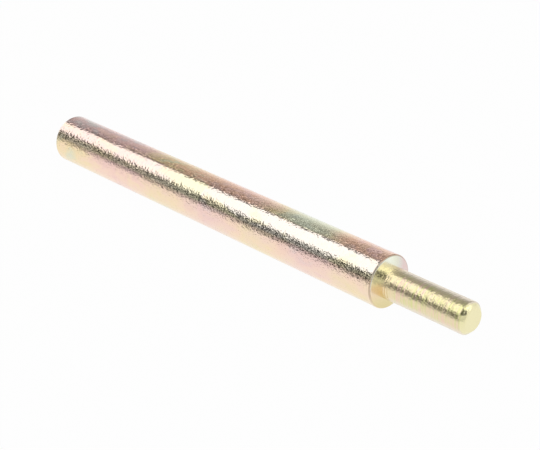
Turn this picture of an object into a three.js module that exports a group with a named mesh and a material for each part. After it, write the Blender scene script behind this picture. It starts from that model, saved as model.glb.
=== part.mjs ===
// Setting tool for drop-in anchors: a plain round drive shank with a thinner setting pin
// seated in its front end. Millimetres, +Z up. The tool lies along X on the plane z = 0,
// with its strike face towards -X and its pin towards +X, and its middle over the origin.
import * as THREE from "three";

// Drive shank: the bar that is held and struck
const shankDiameter = 8;
const shankLength = 75;
const strikeChamfer = 0.5;
const shoulderChamfer = 0.3;

// Setting pin: the part that stands out of the shoulder and enters the anchor
const pinDiameter = 4.8;
const pinReach = 15;
const noseChamfer = 0.7;

// Seat: the blind bore in the shank that holds the pin's tail
const seatDepth = 12;
const tailChamfer = 0.4;
const seatRadialClearance = 0.02;
const seatFloorClearance = 0.3;

// Facets of a full turn: a multiple of four gives a flat underneath, on top and at both sides
const facets = 32;

const platedSteel = { metalness: 1, roughness: 0.3 };
const shankColour = 0xd8bfa4;
const pinColour = 0xd6c489;

const halfFacet = Math.PI / facets;
const overallLength = shankLength + pinReach;

// A solid turned about Y from [height, radius] pairs that start and end on the axis.
// The facets touch the round surface at their middles, so every size across flats is exact.
function turned(profile) {
  const outline = profile.map(
    ([height, radius]) => new THREE.Vector2(radius / Math.cos(halfFacet), height),
  );
  return new THREE.LatheGeometry(outline, facets, halfFacet);
}

// The shank runs from its strike face at height 0 to its shoulder, where the seat opens.
function shankGeometry() {
  const radius = shankDiameter / 2;
  const seatRadius = pinDiameter / 2 + seatRadialClearance;
  const seatFloor = shankLength - seatDepth - seatFloorClearance;
  return turned([
    [0, 0],
    [0, radius - strikeChamfer],
    [strikeChamfer, radius],
    [shankLength - shoulderChamfer, radius],
    [shankLength, radius - shoulderChamfer],
    [shankLength, seatRadius],
    [seatFloor, seatRadius],
    [seatFloor, 0],
  ]);
}

// The pin runs from its tail, deep in the seat, at height 0 to its flat nose.
function pinGeometry() {
  const radius = pinDiameter / 2;
  const length = seatDepth + pinReach;
  return turned([
    [0, 0],
    [0, radius - tailChamfer],
    [tailChamfer, radius],
    [length - noseChamfer, radius],
    [length, radius - noseChamfer],
    [length, 0],
  ]);
}

function piece(name, geometry, colour) {
  const material = new THREE.MeshStandardMaterial({ ...platedSteel, color: colour });
  const mesh = new THREE.Mesh(geometry, material);
  mesh.name = name;
  return mesh;
}

const driveShank = piece("drive_shank", shankGeometry(), shankColour);

const settingPin = piece("setting_pin", pinGeometry(), pinColour);
settingPin.position.y = shankLength - seatDepth;

// Both pieces are turned about Y. Laid down, that axis points along X at half the shank's height.
const laidDown = new THREE.Group();
laidDown.add(driveShank, settingPin);
laidDown.rotation.z = -Math.PI / 2;
laidDown.position.set(-overallLength / 2, 0, shankDiameter / 2);

const anchorSettingTool = new THREE.Group();
anchorSettingTool.add(laidDown);

export default anchorSettingTool;
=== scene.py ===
import math
import random

import bmesh
import bpy
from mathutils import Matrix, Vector


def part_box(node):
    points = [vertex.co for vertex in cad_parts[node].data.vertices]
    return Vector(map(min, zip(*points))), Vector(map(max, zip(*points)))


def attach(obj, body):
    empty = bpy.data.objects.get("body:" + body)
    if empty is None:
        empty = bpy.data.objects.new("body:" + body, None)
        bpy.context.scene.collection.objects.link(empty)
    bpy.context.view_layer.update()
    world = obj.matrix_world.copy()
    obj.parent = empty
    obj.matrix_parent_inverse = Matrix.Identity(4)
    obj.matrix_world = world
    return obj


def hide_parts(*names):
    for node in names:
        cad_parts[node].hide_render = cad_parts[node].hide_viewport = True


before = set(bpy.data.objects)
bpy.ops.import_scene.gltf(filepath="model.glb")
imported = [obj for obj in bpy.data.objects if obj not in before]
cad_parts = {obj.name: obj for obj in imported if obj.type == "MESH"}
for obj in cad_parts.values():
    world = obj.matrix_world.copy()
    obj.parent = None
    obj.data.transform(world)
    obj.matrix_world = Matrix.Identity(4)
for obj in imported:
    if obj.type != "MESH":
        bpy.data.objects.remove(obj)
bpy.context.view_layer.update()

bpy.context.scene.view_settings.view_transform = "Standard"

# Viewpoint
# A long lens looks down on the tool from its pin end. The tool lies level, so the camera has
# no roll, and it aims at a point on the tool's axis a little in front of the middle.
VIEW_AZIMUTH = math.radians(47.5)
VIEW_ELEVATION = math.radians(24.6)
VIEW_DISTANCE = 0.2113
VIEW_AIM = Vector((0.00553, 0, 0.0044))
LENS_MM = 94.0
NEAREST_SEEN = 0.01

view_back = Vector(
    (
        math.sin(VIEW_AZIMUTH) * math.cos(VIEW_ELEVATION),
        -math.cos(VIEW_AZIMUTH) * math.cos(VIEW_ELEVATION),
        math.sin(VIEW_ELEVATION),
    )
)
bpy.ops.object.camera_add(
    location=VIEW_AIM + VIEW_DISTANCE * view_back,
    rotation=(math.pi / 2 - VIEW_ELEVATION, 0, VIEW_AZIMUTH),
)
camera = bpy.context.object
camera.data.lens = LENS_MM
camera.data.clip_start = NEAREST_SEEN
bpy.context.scene.camera = camera


# Studio
# A white table top in a dim room with two soft lights. The wide one, over the front left, draws the
# bright stripe along the tool, and the wall under it the dark one. The other is high on the right.
# The wall behind is pale near the table, and the place round the camera is dark.
class Field:
    """One output in a node tree. Arithmetic on it adds the Math nodes that it needs."""

    def __init__(self, tree, socket=None):
        self.tree = tree
        self.socket = socket

    def node(self, kind, settings=None, inputs=None, output=0):
        """Adds a node of that kind: its settings first, then the values or links of its sockets."""
        made = self.tree.nodes.new(kind)
        for name, value in (settings or {}).items():
            if name == "stops":
                set_stops(made.color_ramp, value)
            else:
                setattr(made, name, value)
        for name, value in (inputs or {}).items():
            if isinstance(value, Field):
                self.tree.links.new(value.socket, made.inputs[name])
            else:
                made.inputs[name].default_value = value
        return Field(self.tree, made.outputs[output] if made.outputs else None)

    def out(self, name):
        """Another output of the same node."""
        return Field(self.tree, self.socket.node.outputs[name])

    def math(self, operation, first, second=0.0):
        return self.node("ShaderNodeMath", {"operation": operation}, {0: first, 1: second})

    def mix(self, factor, first, second):
        """The colour that goes from first to second as factor goes from 0 to 1."""
        return self.node("ShaderNodeMix", {"data_type": "RGBA"}, {0: factor, 6: first, 7: second}, 2)

    def rise(self, low, high):
        """Goes smoothly from 0, where the value is low, to 1, where it is high."""
        return self.node(
            "ShaderNodeMapRange",
            {"interpolation_type": "SMOOTHSTEP"},
            {"Value": self, "From Min": low, "From Max": high},
        )

    def ramp(self, stops):
        return self.node("ShaderNodeValToRGB", {"stops": stops}, {"Fac": self})

    def __add__(self, other):
        return self.math("ADD", self, other)

    def __radd__(self, other):
        return self.math("ADD", other, self)

    def __sub__(self, other):
        return self.math("SUBTRACT", self, other)

    def __rsub__(self, other):
        return self.math("SUBTRACT", other, self)

    def __mul__(self, other):
        return self.math("MULTIPLY", self, other)

    def __rmul__(self, other):
        return self.math("MULTIPLY", other, self)


def set_stops(ramp, stops):
    """Gives a colour ramp these (position, colour) stops."""
    while len(ramp.elements) > 1:
        ramp.elements.remove(ramp.elements[-1])
    ramp.elements[0].position = stops[0][0]
    ramp.elements[0].color = stops[0][1]
    for position, colour in stops[1:]:
        ramp.elements.new(position).color = colour


def grey(level):
    return (level, level, level, 1)


TABLE_SIDE = 3.0
TABLE_WHITE = grey(0.6)
SHEET_WHITE = grey(1.0)
SEEN_AS_SHEET = 0.98
SHEET_FADE = (0.023, 0.048)
SHEET_SLANT = 0.2

bpy.ops.object.select_all(action="DESELECT")
bpy.ops.mesh.primitive_plane_add(size=TABLE_SIDE)
table = bpy.context.object
table.name = "table_top"

table_paint = bpy.data.materials.new("table_white")
table_paint.use_nodes = True
table_paint.node_tree.nodes.clear()
paint = Field(table_paint.node_tree)
camera_ray = paint.node("ShaderNodeLightPath", output="Is Camera Ray")
place = paint.node("ShaderNodeTexCoord", output="Object")
to_right = paint.node("ShaderNodeSeparateXYZ", inputs={"Vector": place}, output="X")
in_front = SHEET_SLANT * to_right - to_right.out("Y")
mirrored = camera_ray.out("Is Glossy Ray") * (1 - in_front.rise(*SHEET_FADE))
seen = (camera_ray + mirrored) * SEEN_AS_SHEET
lit = paint.node("ShaderNodeBsdfDiffuse", inputs={"Color": TABLE_WHITE})
sheet = paint.node("ShaderNodeEmission", inputs={"Color": SHEET_WHITE})
shown = paint.node("ShaderNodeMixShader", inputs={0: seen, 1: lit, 2: sheet})
paint.node("ShaderNodeOutputMaterial", inputs={"Surface": shown})
table.data.materials.append(table_paint)

# How bright each part of the room is. The wall behind goes by height, the wide light from left to right.
FRONT_WALL = grey(0.08)
LEFT_GLOW = grey(0.48)
RIGHT_FRONT = grey(0.85)
ROUND_CAMERA = grey(0.02)
BACK_WALL = [
    (0.0, grey(1.0)),
    (0.3, grey(0.8)),
    (0.5, grey(0.53)),
    (0.6, grey(0.36)),
    (0.7, grey(0.3)),
    (0.8, grey(0.43)),
]
RIGHT_BACK = grey(0.95)
LEFT_BACK = grey(0.38)
LEFT_BACK_SHARE = 0.5
BEHIND_LIGHT = grey(0.08)
BEHIND_LIGHT_SHARE = 0.45
SOFT_LIGHT = [
    (0.24, grey(1.34)),
    (0.35, grey(1.54)),
    (0.385, grey(1.54)),
    (0.42, grey(1.36)),
]
SOFT_LIGHT_SHIFT = 1
RIGHT_LIGHT = grey(1.6)

# The middle of the dark place from the camera, and how far the wide light's foot rises at its ends
ABOVE_CAMERA = Vector((0, 0.19, 0.19))
FOOT_RISE_LEFT = 0.084
FOOT_RISE_RIGHT = 0.06

# Where each part fades in: how far a direction points to the side that ends the name, from -1 to 1
GLOW_LEFT = (0.62, 0.78)
GLOW_DOWN = (-0.22, -0.1)
DARK_TO_CAMERA = (0.91, 0.975)
FRONT_TO_RIGHT = (-0.64, -0.05)
BACK_TO_RIGHT = (0.0, 0.3)
BACK_TO_LEFT = (0.66, 0.8)
BEHIND_LIGHT_AHEAD = (-0.36, -0.12)
BEHIND_LIGHT_LEFT = (0.6, 0.66)
FRONT_TO_BACK = (-0.03, 0.03)
LIGHT_FOOT_UP = (0.351, 0.365)
FOOT_TO_LEFT = (0.68, 0.78)
FOOT_TO_RIGHT = (-0.69, -0.63)
LIGHT_AHEAD = (-0.035, 0.005)
LIGHT_LEFT = (0.22, 0.38)
RIGHT_LIGHT_RIGHT = (0.4, 0.5)
RIGHT_LIGHT_UP = (0.62, 0.68)
RIGHT_LIGHT_BACK = (-0.22, -0.12)

studio = bpy.data.worlds.new("studio")
bpy.context.scene.world = studio
studio.use_nodes = True
studio.node_tree.nodes.clear()
room = Field(studio.node_tree)
towards = room.node("ShaderNodeTexCoord", output="Generated")
right = room.node("ShaderNodeSeparateXYZ", inputs={"Vector": towards}, output="X")
back, up = right.out("Y"), right.out("Z")
left, ahead, down = 0 - right, 0 - back, 0 - up
left_glow = left.rise(*GLOW_LEFT) * down.rise(*GLOW_DOWN)
front = room.mix(left_glow, FRONT_WALL, LEFT_GLOW)
dark_middle = (view_back + ABOVE_CAMERA).normalized()
to_camera = room.node(
    "ShaderNodeVectorMath", {"operation": "DOT_PRODUCT"}, {0: towards, 1: dark_middle}, "Value"
)
right_front = room.mix(to_camera.rise(*DARK_TO_CAMERA), RIGHT_FRONT, ROUND_CAMERA)
front = room.mix(right.rise(*FRONT_TO_RIGHT), front, right_front)
rear = room.mix(right.rise(*BACK_TO_RIGHT), up.ramp(BACK_WALL), RIGHT_BACK)
rear = room.mix(left.rise(*BACK_TO_LEFT) * LEFT_BACK_SHARE, rear, LEFT_BACK)
behind_light = ahead.rise(*BEHIND_LIGHT_AHEAD) * left.rise(*BEHIND_LIGHT_LEFT)
rear = room.mix(behind_light * BEHIND_LIGHT_SHARE, rear, BEHIND_LIGHT)
walls = room.mix(back.rise(*FRONT_TO_BACK), front, rear)
foot_rise = FOOT_RISE_LEFT * left.rise(*FOOT_TO_LEFT) + FOOT_RISE_RIGHT * right.rise(*FOOT_TO_RIGHT)
above_foot = (up - foot_rise).rise(*LIGHT_FOOT_UP)
light_shape = above_foot * ahead.rise(*LIGHT_AHEAD) * left.rise(*LIGHT_LEFT)
lit_room = room.mix(light_shape, walls, (right + SOFT_LIGHT_SHIFT).ramp(SOFT_LIGHT))
right_light = right.rise(*RIGHT_LIGHT_RIGHT) * up.rise(*RIGHT_LIGHT_UP) * back.rise(*RIGHT_LIGHT_BACK)
lit_room = room.mix(right_light, lit_room, RIGHT_LIGHT)
camera_ray = room.node("ShaderNodeLightPath", output="Is Camera Ray")
seen_room = room.mix(camera_ray, lit_room, SHEET_WHITE)
room_light = room.node("ShaderNodeBackground", inputs={"Color": seen_room})
room.node("ShaderNodeOutputWorld", inputs={"Surface": room_light})


# Drive shank
# A length of drawn steel bar, cut and faced at both ends, with its corners broken and a blind seat
# bored for the pin. It is plated with zinc and passivated yellow, over the fine pits of the bar.
STRIKE_CHAMFER = 0.0005
SHOULDER_ROUND = 0.0003
ROUND_STEPS = 8
CORNER_ROUND = 0.00008
CORNER_STEPS = 3
SHANK_SIDES = 160
SHANK_CUTS = (22, 21)
SEAT_PRESS = 0.00005
SEAT_FLOOR_GAP = 0.0003
FACING_PITCH = 0.0002
FACING_DEPTH = 0.000003
PIT_SIZE = 0.0004
PIT_DEPTH = 0.00005
NEAR = 1e-6

shank_low, shank_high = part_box("drive_shank")
pin_low, pin_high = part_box("setting_pin")
axis_height = (shank_low.z + shank_high.z) / 2
shank_radius = (shank_high.z - shank_low.z) / 2
pin_radius = (pin_high.z - pin_low.z) / 2
strike_x = shank_low.x
shoulder_x = shank_high.x
tail_x = pin_low.x
nose_x = pin_high.x


def round_bar(name, start, end, radius, sides):
    """A plain bar about the tool's axis, from start to end along X, left open in edit mode."""
    bpy.ops.object.select_all(action="DESELECT")
    bpy.ops.mesh.primitive_cylinder_add(
        vertices=sides,
        radius=radius,
        depth=end - start,
        location=((start + end) / 2, 0, axis_height),
        rotation=(0, math.pi / 2, 0),
    )
    bar = bpy.context.object
    bar.name = name
    bpy.ops.object.transform_apply(location=True, rotation=True, scale=True)
    bpy.ops.object.mode_set(mode="EDIT")
    return bar


def off_axis(point):
    return math.hypot(point.y, point.z - axis_height)


def on_ring(point, x, radius):
    return abs(point.x - x) < NEAR and abs(off_axis(point) - radius) < NEAR


def pick(bar, kind, test):
    """Selects the bar's corners, edges or faces for which the test of their corners' places holds."""
    bpy.ops.mesh.select_mode(type=kind)
    bpy.ops.mesh.select_all(action="DESELECT")
    shape = bmesh.from_edit_mesh(bar.data)
    if kind == "VERT":
        for corner in shape.verts:
            corner.select_set(test([corner.co]))
    else:
        for part in shape.edges if kind == "EDGE" else shape.faces:
            part.select_set(test([corner.co for corner in part.verts]))
    bmesh.update_edit_mesh(bar.data)


def pick_ring(bar, x, radius):
    pick(bar, "EDGE", lambda corners: all(on_ring(point, x, radius) for point in corners))


def chamfer_rim(bar, end, inside, radius, chamfer):
    """Chamfers the rim of a bar's end at 45 degrees, and rounds both corners of the chamfer."""
    pick_ring(bar, end, radius)
    bpy.ops.mesh.bevel(offset=chamfer, segments=1)
    for x, ring in ((end, radius - chamfer), (inside, radius)):
        pick_ring(bar, x, ring)
        bpy.ops.mesh.bevel(offset=CORNER_ROUND, segments=CORNER_STEPS)


def round_rim(bar, end, radius, rounding):
    """Rounds the rim of a bar's end, as a corner is that was eased with a file."""
    pick_ring(bar, end, radius)
    bpy.ops.mesh.bevel(offset=rounding, segments=ROUND_STEPS)


def face_end(bar, x, outer, inner):
    """Cuts the shallow rings of a facing tool in a bar's end, from one radius in to another."""
    pick(bar, "FACE", lambda corners: all(abs(point.x - x) < NEAR for point in corners))
    rings = round((outer - inner) / FACING_PITCH)
    for ring in range(rings):
        level = FACING_DEPTH if ring % 2 else -FACING_DEPTH
        bpy.ops.mesh.inset(thickness=(outer - inner) / rings, depth=level)


def cut_rings(bar, start, end, cuts):
    """Cuts the bar's skin into rings between two places: by so many cuts, then each piece by more."""
    for count in cuts:
        pick(
            bar,
            "EDGE",
            lambda corners: abs(corners[0].x - corners[1].x) > CORNER_ROUND
            and all(start - NEAR < point.x < end + NEAR for point in corners),
        )
        bpy.ops.mesh.subdivide(number_cuts=count)


def pit_skin(bar, name, radius, size, depth):
    """Sinks cloudy pits of that size and depth in the bar's skin, which is what lies past that radius."""
    bpy.ops.object.mode_set(mode="OBJECT")
    skin = bar.vertex_groups.new(name=name)
    skin_corners = [corner.index for corner in bar.data.vertices if off_axis(corner.co) > radius]
    skin.add(skin_corners, 1.0, "REPLACE")
    pits = bpy.data.textures.new(name, "CLOUDS")
    pits.noise_scale = size
    pits.noise_depth = 1
    pitting = bar.modifiers.new(name, "DISPLACE")
    pitting.texture = pits
    pitting.texture_coords = "LOCAL"
    pitting.vertex_group = skin.name
    pitting.mid_level = 1.0
    pitting.strength = depth
    bpy.ops.object.modifier_apply(modifier=pitting.name)


def shade_bar(bar):
    """Shades a bar smoothly, with each flat kept flat up to its rounded corners."""
    bpy.ops.object.shade_smooth()
    even = bar.modifiers.new("even_shading", "WEIGHTED_NORMAL")
    bpy.ops.object.modifier_apply(modifier=even.name)


shank = round_bar("plated_shank", strike_x, shoulder_x, shank_radius, SHANK_SIDES)
chamfer_rim(shank, strike_x, strike_x + STRIKE_CHAMFER, shank_radius, STRIKE_CHAMFER)
round_rim(shank, shoulder_x, shank_radius, SHOULDER_ROUND)
skin_start = strike_x + STRIKE_CHAMFER + CORNER_ROUND
skin_end = shoulder_x - SHOULDER_ROUND
cut_rings(shank, skin_start, skin_end, SHANK_CUTS)
face_end(shank, strike_x, shank_radius - STRIKE_CHAMFER - CORNER_ROUND, FACING_PITCH)
# The seat is a little narrower than the pin. The last ring before it lies inside the pin, out of sight.
face_end(shank, shoulder_x, shank_radius - SHOULDER_ROUND, pin_radius - SEAT_PRESS / 2)
bpy.ops.mesh.inset(thickness=SEAT_PRESS / 2)
seat_depth = shoulder_x - tail_x + SEAT_FLOOR_GAP
bpy.ops.mesh.extrude_region_move(TRANSFORM_OT_translate={"value": (-seat_depth, 0, 0)})
pit_skin(shank, "bar_pits", shank_radius - NEAR, PIT_SIZE, PIT_DEPTH)
shade_bar(shank)


def srgb(red, green, blue):
    """A colour as it shows on a screen, 0 to 255 a channel, in the shader's own linear values."""
    linear = []
    for channel in (red, green, blue):
        share = channel / 255
        linear.append(share / 12.92 if share <= 0.04045 else ((share + 0.055) / 1.055) ** 2.4)
    return (*linear, 1)


MM = 1000.0


def new_plating(name):
    """An empty plating material, with a Field to write it and the surface's place in millimetres."""
    material = bpy.data.materials.new(name)
    material.use_nodes = True
    material.node_tree.nodes.clear()
    plating = Field(material.node_tree)
    place = plating.node("ShaderNodeTexCoord", output="Object")
    in_mm = plating.node("ShaderNodeVectorMath", {"operation": "SCALE"}, {0: place, "Scale": MM})
    return material, plating, in_mm


def clouds(plating, place, per_mm, detail=2.0, distortion=0.0):
    """Cloudy noise from 0 to 1, with so many clouds in a millimetre along each axis."""
    scaled = plating.node("ShaderNodeVectorMath", {"operation": "MULTIPLY"}, {0: place, 1: per_mm})
    return plating.node(
        "ShaderNodeTexNoise",
        inputs={"Vector": scaled, "Scale": 1.0, "Detail": detail, "Distortion": distortion},
    )


# The film's colours as it thickens, which then begin again, and the faced ends', from foot to top
FILM = [
    (0.00, srgb(248, 224, 176)),
    (0.17, srgb(251, 221, 190)),
    (0.32, srgb(251, 214, 196)),
    (0.47, srgb(246, 205, 197)),
    (0.60, srgb(230, 209, 205)),
    (0.72, srgb(224, 220, 211)),
    (0.86, srgb(228, 224, 192)),
    (1.00, srgb(248, 224, 176)),
]
# Partly painted light: darker at the foot as painted shade, near white at the top as a painted highlight
END_FILM_AND_PAINTED_LIGHT = [
    (0.10, srgb(226, 212, 160)),
    (0.22, srgb(232, 216, 168)),
    (0.36, srgb(242, 218, 182)),
    (0.50, srgb(244, 224, 202)),
    (0.62, srgb(246, 252, 240)),
]
BARE_ZINC = srgb(226, 221, 212)
PALE_LEMON = srgb(236, 229, 194)
PALE_GREEN = srgb(234, 240, 214)
WARM_PEACH = srgb(250, 200, 160)
RIM_PAINTED_SHADE = srgb(130, 108, 76)

shank_zinc, zinc, place = new_plating("shank_zinc")
along = zinc.node("ShaderNodeSeparateXYZ", inputs={"Vector": place}, output="X")
sideways, upward = along.out("Y"), along.out("Z") - axis_height * MM
past_shoulder = along - shoulder_x * MM
past_strike = strike_x * MM - along


def facing(degrees):
    """How far the skin faces that way, from 1 to -1 on the far side. 0 is to the front and 90 is up."""
    angle = math.radians(degrees)
    rise, run = math.sin(angle) / (shank_radius * MM), math.cos(angle) / (shank_radius * MM)
    return upward * rise - sideways * run


def film_wave(length, crest):
    """A slow wave of the film along the bar, from 0 to 1, with a crest at that place."""
    return 0.5 + 0.5 * zinc.math("COSINE", (along - crest) * (2 * math.pi / length))


PATCHES_PER_MM = (0.14, 0.35, 0.35)
SPOTS_PER_MM = (0.45, 0.9, 0.9)
CLOUDINESS = 0.5

patches = clouds(zinc, place, PATCHES_PER_MM, detail=3.0, distortion=0.4)
spots = clouds(zinc, place, SPOTS_PER_MM)
cloudy = CLOUDINESS * (patches + spots - 1)

# How thick the film is on the front, the middle and the top of the skin. Places along the bar are in mm.
UP = 90
FRONT_THIN = 0.02
FRONT_SWING = 0.3
FRONT_WAVE = (22, -5)
FRONT_THICKER = 0.2
FRONT_UPPER = (-0.85, 0.3)
FRONT_STRETCH = (-41, -36)
MIDDLE_ANGLE = 45
MIDDLE_EDGE = (0.891, 0.94)
MIDDLE_THICK = 0.06
MIDDLE_THICKER = 0.34
MIDDLE_UPPER = (0.5, 0.65)
TOP_ANGLE = 105
TOP_EDGE = (0.707, 0.81)
TOP_SWING = 0.5
TOP_WAVE = (29, -1.5)
TOP_END_THICKER = 0.5
TOP_END = (-42, -33)
DIP_THIN = 0.15
DIP_START = (2, 10)
DIP_END = (19, 26)

front_film = FRONT_SWING * film_wave(*FRONT_WAVE) + FRONT_THICKER * facing(UP).rise(*FRONT_UPPER)
front_film = (front_film - FRONT_THIN) * along.rise(*FRONT_STRETCH)
middle = facing(MIDDLE_ANGLE).rise(*MIDDLE_EDGE)
middle_film = MIDDLE_THICK + MIDDLE_THICKER * facing(UP).rise(*MIDDLE_UPPER)
top = facing(TOP_ANGLE).rise(*TOP_EDGE)
dip = along.rise(*DIP_START) - along.rise(*DIP_END)
top_film = TOP_SWING * film_wave(*TOP_WAVE) + TOP_END_THICKER * (1 - along.rise(*TOP_END)) - DIP_THIN * dip
skin_film = front_film + middle * (middle_film - front_film)
skin_film = skin_film + top * (top_film - skin_film) + cloudy

# The faced ends, whose film is thinner on the far side and thicker low down
END_AT_SHOULDER = (-0.1, -0.03)
END_AT_STRIKE = (-0.55, -0.45)
END_THICK = 0.86
END_FAR_THIN = 0.27
END_FAR = (0.0, 3.3)
END_LOW_THICK = 0.07
END_LOW = (-1.0, 2.0)
END_CLOUDINESS = 0.4

at_end = past_shoulder.rise(*END_AT_SHOULDER) + past_strike.rise(*END_AT_STRIKE)
end_film = END_THICK - END_FAR_THIN * sideways.rise(*END_FAR) + END_LOW_THICK * (0 - upward).rise(*END_LOW)
end_film = end_film + END_CLOUDINESS * cloudy
thickness = skin_film + at_end * (end_film - skin_film)
tint = zinc.math("FRACT", thickness).ramp(FILM)

# Thin film, a painted highlight under the bright stripe, and the lemon patch that dried behind a water
# line
THIN_START = 0.5
THIN_GROWTH = 0.5
THIN_STRETCH = (-28, 4)
THIN_SIDES = 0.25
MIDDLE_PAINTED_HIGHLIGHT = 0.6
LEMON_PATCHES = (0.5, 0.62)
WATER_LINE = -6.7
WATER_EDGE = 0.1
DRIED_LENGTH = 12
DRIED_SIDES = 0.1
DRIED_MIDDLE = 0.8

skin = 1 - at_end
# Thin film all round, with more of the pale grey base where the bright stripe lies, as a painted highlight
thin_film_and_highlight = THIN_START + THIN_GROWTH * along.rise(*THIN_STRETCH)
thin_film_and_highlight = thin_film_and_highlight * (THIN_SIDES + MIDDLE_PAINTED_HIGHLIGHT * middle) * skin * (1 - top)
pale_film_and_highlight_tint = zinc.mix(patches.rise(*LEMON_PATCHES), BARE_ZINC, PALE_LEMON)
tint = zinc.mix(thin_film_and_highlight, tint, pale_film_and_highlight_tint)
dried = along.rise(WATER_LINE - DRIED_LENGTH, WATER_LINE)
dried = dried * (1 - along.rise(WATER_LINE - WATER_EDGE, WATER_LINE + WATER_EDGE))
tint = zinc.mix(dried * (DRIED_SIDES + DRIED_MIDDLE * middle), tint, PALE_LEMON)

# Warm and pale patches on top, painted shade and highlight on the ends, a painted shade line at the
# shoulder
WARM_START = (-22, -12)
WARM_END = (2, 7)
WARM_AGAIN = (19, 23)
WARM_SPOTS = (0.35, 0.6)
WARM_SHARE = 0.65
PALE_START = (7, 13)
PALE_END = (17, 22)
PALE_SHARE = 0.8
TINTED_SIDE = (-2.8, 0.5)
TINTED_SHARE = 0.85
RIM_START = (-0.3, -0.24)
RIM_END = (-0.03, -0.005)
RIM_TOP = (-3.5, 0.5)
RIM_SHARE = 0.2
RIM_SPOTS = 0.5

warm = along.rise(*WARM_START) * (1 - along.rise(*WARM_END)) + along.rise(*WARM_AGAIN)
warm_patch = top * warm * spots.rise(*WARM_SPOTS) * WARM_SHARE * skin
tint = zinc.mix(warm_patch, tint, WARM_PEACH)
pale_patch = top * along.rise(*PALE_START) * (1 - along.rise(*PALE_END)) * PALE_SHARE * skin
tint = zinc.mix(pale_patch, tint, PALE_GREEN)
height_share = 0.5 + upward * (0.5 / (shank_radius * MM))
# On the ends' near side: film tints with painted shade towards the foot and a painted highlight at the top
tinted_and_painted_light = at_end * TINTED_SHARE * (0 - sideways).rise(*TINTED_SIDE)
tint = zinc.mix(tinted_and_painted_light, tint, height_share.ramp(END_FILM_AND_PAINTED_LIGHT))
# Painted shade: a dark brown line round the top of the shoulder's rounded rim
rim = past_shoulder.rise(*RIM_START) * (1 - past_shoulder.rise(*RIM_END)) * upward.rise(*RIM_TOP)
tint = zinc.mix(rim * (RIM_SHARE + RIM_SPOTS * spots), tint, RIM_PAINTED_SHADE)

# The finest marks: grain all over the skin, and pocks that are left out where the bright stripe lies
HAZE_PER_MM = (0.8, 2.0, 2.0)
GRAIN_PER_MM = (3.2, 3.2, 3.2)
POCKS_PER_MM = (4.5, 4.5, 4.5)
POCK_EDGE = (0.5, 0.7)
STRIPE_ANGLE = 52
STRIPE_EDGE = (0.93, 0.98)
POCKS = 0.42
MORE_POCKS = 0.6
MORE_POCKS_ANGLE = 80
MORE_POCKS_EDGE = (0.95, 0.985)
MARK_DEPTH = 0.00004
SKIN_ROUGHNESS = 0.04
HAZE_ROUGHNESS = 0.05
END_ROUGHNESS = 0.15

haze = clouds(zinc, place, HAZE_PER_MM, detail=3.0)
grain = clouds(zinc, place, GRAIN_PER_MM, detail=1.0)
pocks = clouds(zinc, place, POCKS_PER_MM, detail=0.0).rise(*POCK_EDGE)
pocks = pocks * (1 - facing(STRIPE_ANGLE).rise(*STRIPE_EDGE))
pocks = pocks * (POCKS + MORE_POCKS * facing(MORE_POCKS_ANGLE).rise(*MORE_POCKS_EDGE))
bumps = zinc.node(
    "ShaderNodeBump",
    inputs={"Strength": 1.0, "Distance": MARK_DEPTH, "Height": (grain - pocks) * skin},
)
metal = zinc.node(
    "ShaderNodeBsdfPrincipled",
    inputs={
        "Base Color": tint,
        "Metallic": 1.0,
        "Roughness": SKIN_ROUGHNESS + HAZE_ROUGHNESS * haze + END_ROUGHNESS * at_end,
        "Normal": bumps,
    },
)
zinc.node("ShaderNodeOutputMaterial", inputs={"Surface": metal})
shank.data.materials.append(shank_zinc)

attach(shank, "root")
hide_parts("drive_shank")


# Setting pin
# A pin turned down from bar, with its nose chamfered and a lead-in on the tail that is pressed into
# the shank. The lathe tool's feed left fine rings along it, which the plating follows.
NOSE_CHAMFER = 0.0007
TAIL_CHAMFER = 0.0004
PIN_SIDES = 128
ROOT_LENGTH = 0.0002
FEED_PITCH = 0.0004
FEED_DEPTHS = (0.000018, 0.000027, 0.00004)
FEED_PROFILE = (0.0, 0.4, 1.0, 0.4)
FEED_SEED = 7
SMOOTH_NOSE = 0.002
SMOOTH_NOSE_CUTS = (7,)
PIN_PIT_SIZE = 0.0004
PIN_PIT_DEPTH = 0.00002

pin = round_bar("plated_pin", tail_x, nose_x, pin_radius, PIN_SIDES)
chamfer_rim(pin, tail_x, tail_x + TAIL_CHAMFER, pin_radius, TAIL_CHAMFER)
chamfer_rim(pin, nose_x, nose_x - NOSE_CHAMFER, pin_radius, NOSE_CHAMFER)
face_end(pin, nose_x, pin_radius - NOSE_CHAMFER - CORNER_ROUND, FACING_PITCH)

feed_start = shoulder_x + ROOT_LENGTH
feed_count = round((nose_x - SMOOTH_NOSE - feed_start) / FEED_PITCH)
feed_end = feed_start + feed_count * FEED_PITCH
for x in (shoulder_x, feed_start, feed_end):
    bpy.ops.mesh.select_all(action="SELECT")
    bpy.ops.mesh.bisect(plane_co=(x, 0, axis_height), plane_no=(1, 0, 0), threshold=NEAR)


def resize_rings(bar, places, radius):
    """Brings the bar's rings of corners at those places to that radius."""
    pick(bar, "VERT", lambda corners: any(abs(corners[0].x - x) < NEAR for x in places))
    share = radius / pin_radius
    bpy.ops.transform.resize(value=(1, share, share), center_override=(0, 0, axis_height))


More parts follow.
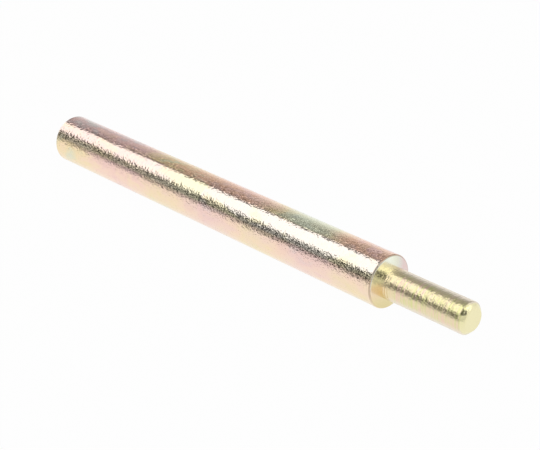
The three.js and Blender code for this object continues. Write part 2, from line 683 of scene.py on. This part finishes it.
feed_steps = len(FEED_PROFILE)
cut_rings(pin, feed_start, feed_end, (feed_count - 1, feed_steps - 1))
feed = random.Random(FEED_SEED)
groove_depths = [feed.choice(FEED_DEPTHS) for _ in range(feed_count)]
for depth in FEED_DEPTHS:
    grooves = [groove for groove in range(feed_count) if groove_depths[groove] == depth]
    for step in range(1, feed_steps):
        places = [feed_start + (groove + step / feed_steps) * FEED_PITCH for groove in grooves]
        resize_rings(pin, places, pin_radius - depth * FEED_PROFILE[step])
cut_rings(pin, feed_end, nose_x - NOSE_CHAMFER - CORNER_ROUND, SMOOTH_NOSE_CUTS)
pit_skin(pin, "pin_pits", pin_radius - max(FEED_DEPTHS) - NEAR, PIN_PIT_SIZE, PIN_PIT_DEPTH)
shade_bar(pin)

PIN_FILM = [
    (0.38, srgb(226, 223, 163)),
    (0.46, srgb(231, 220, 174)),
    (0.54, srgb(236, 221, 183)),
    (0.62, srgb(240, 212, 188)),
]
PIN_PALE = srgb(241, 229, 213)
PIN_ROOT = srgb(243, 224, 182)
NOSE_STRAW = srgb(243, 236, 188)

# Streaks follow the rings. The far side is paler, and the root and the nose have tints of their own.
PIN_PATCHES_PER_MM = (0.25, 0.4, 0.4)
STREAKS_PER_MM = (3.0, 0.1, 0.1)
PIN_GRAIN_PER_MM = (4.0, 3.0, 3.0)
STREAK_SHARE = 0.5
FRONT_LIFT = 0.5
FRONT_OUT = 0.87
FRONT_EDGE = (0.8, 1.9)
PALE_BACK_SHARE = 0.85
ROOT_EDGE = (1, 4)
ROOT_SHARE = 0.75
NOSE_EDGE = (-0.55, -0.45)
NOSE_SHARE = 0.85
PIN_MARK_DEPTH = 0.00005
PIN_ROUGHNESS = 0.21
PATCH_ROUGHNESS = 0.06

pin_zinc, zinc, place = new_plating("pin_zinc")
along = zinc.node("ShaderNodeSeparateXYZ", inputs={"Vector": place}, output="X")
sideways, upward = along.out("Y"), along.out("Z") - axis_height * MM
patches = clouds(zinc, place, PIN_PATCHES_PER_MM, distortion=0.3)
streaks = clouds(zinc, place, STREAKS_PER_MM, detail=1.0)
tint = ((1 - STREAK_SHARE) * patches + STREAK_SHARE * streaks).ramp(PIN_FILM)
to_front = (FRONT_LIFT * upward - FRONT_OUT * sideways).rise(*FRONT_EDGE)
at_root = 1 - (along - shoulder_x * MM).rise(*ROOT_EDGE)
at_nose = (along - nose_x * MM).rise(*NOSE_EDGE)
tint = zinc.mix((1 - to_front) * PALE_BACK_SHARE, tint, PIN_PALE)
tint = zinc.mix(ROOT_SHARE * at_root, tint, PIN_ROOT)
tint = zinc.mix(NOSE_SHARE * at_nose, tint, NOSE_STRAW)
grain = clouds(zinc, place, PIN_GRAIN_PER_MM, detail=1.0)
bumps = zinc.node("ShaderNodeBump", inputs={"Strength": 1.0, "Distance": PIN_MARK_DEPTH, "Height": grain})
metal = zinc.node(
    "ShaderNodeBsdfPrincipled",
    inputs={
        "Base Color": tint,
        "Metallic": 1.0,
        "Roughness": PIN_ROUGHNESS + PATCH_ROUGHNESS * patches,
        "Normal": bumps,
    },
)
zinc.node("ShaderNodeOutputMaterial", inputs={"Surface": metal})
pin.data.materials.append(pin_zinc)

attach(pin, "root")
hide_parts("setting_pin")
